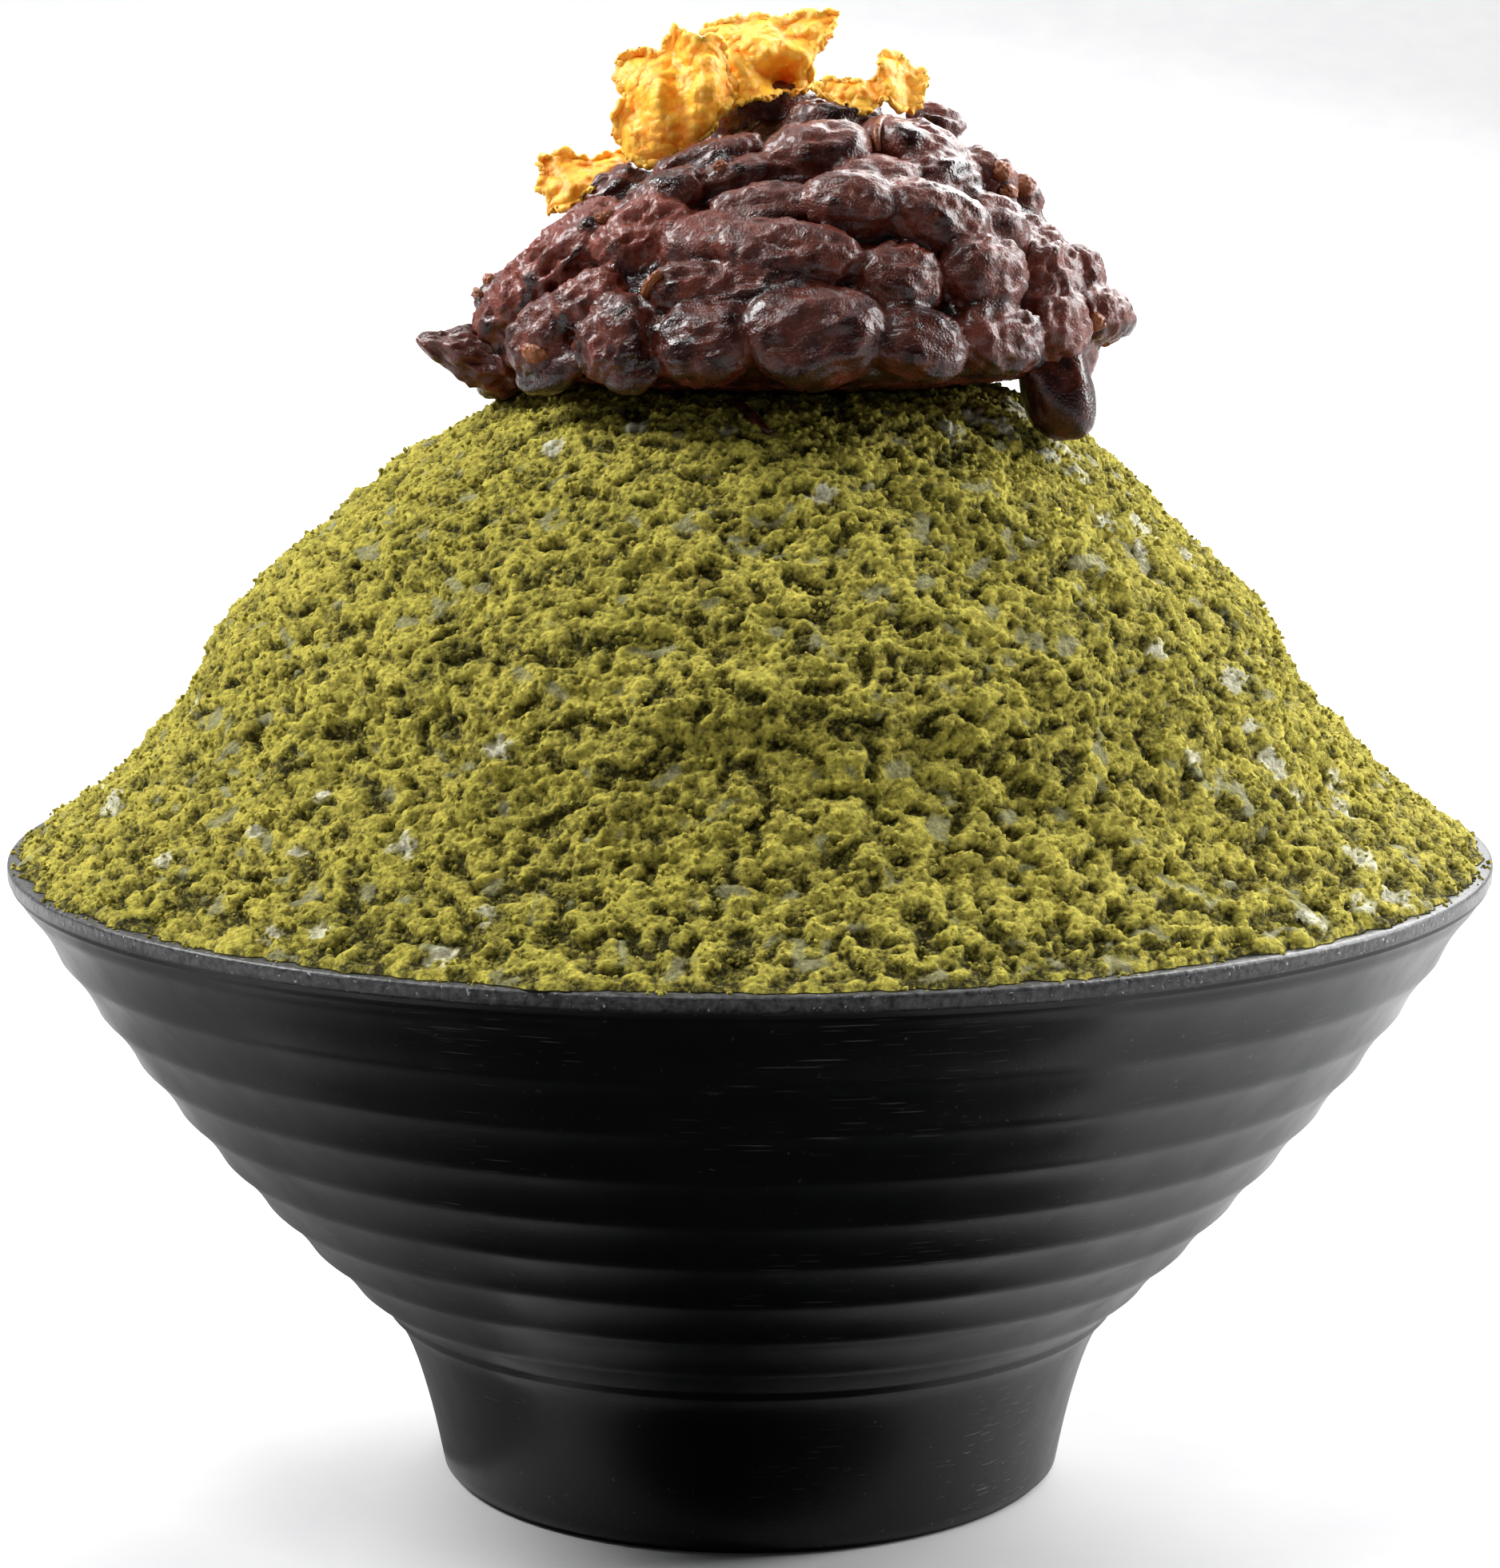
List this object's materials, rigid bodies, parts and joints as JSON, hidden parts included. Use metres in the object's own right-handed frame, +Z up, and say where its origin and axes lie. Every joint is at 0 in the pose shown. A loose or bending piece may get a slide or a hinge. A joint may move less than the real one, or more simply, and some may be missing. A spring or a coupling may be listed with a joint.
{
  "type": "shaved ice dessert",
  "caption": "Mound of shaved ice dusted with green tea powder in a black ribbed footed bowl, topped with sweet red beans and corn flakes.",
  "frame": {"origin": "centre of the ring that the bowl stands on, on the surface it stands on", "axes": "+Z up, -Y towards the viewer of the picture, +X to the viewer's right"},
  "size_m": [0.16, 0.16, 0.1588],
  "materials": {
    "black_melamine": "satin",
    "green_tea_powder": "powdery",
    "red_bean": "wet with syrup",
    "corn_flake": "dry and blistered"
  },
  "bodies": {
    "root": {"bowl": "black_melamine", "green_tea_ice": "green_tea_powder", "red_beans": "red_bean", "flake_left": "corn_flake", "flake_front": "corn_flake", "flake_top": "corn_flake", "flake_right": "corn_flake"}
  },
  "joints": []
}
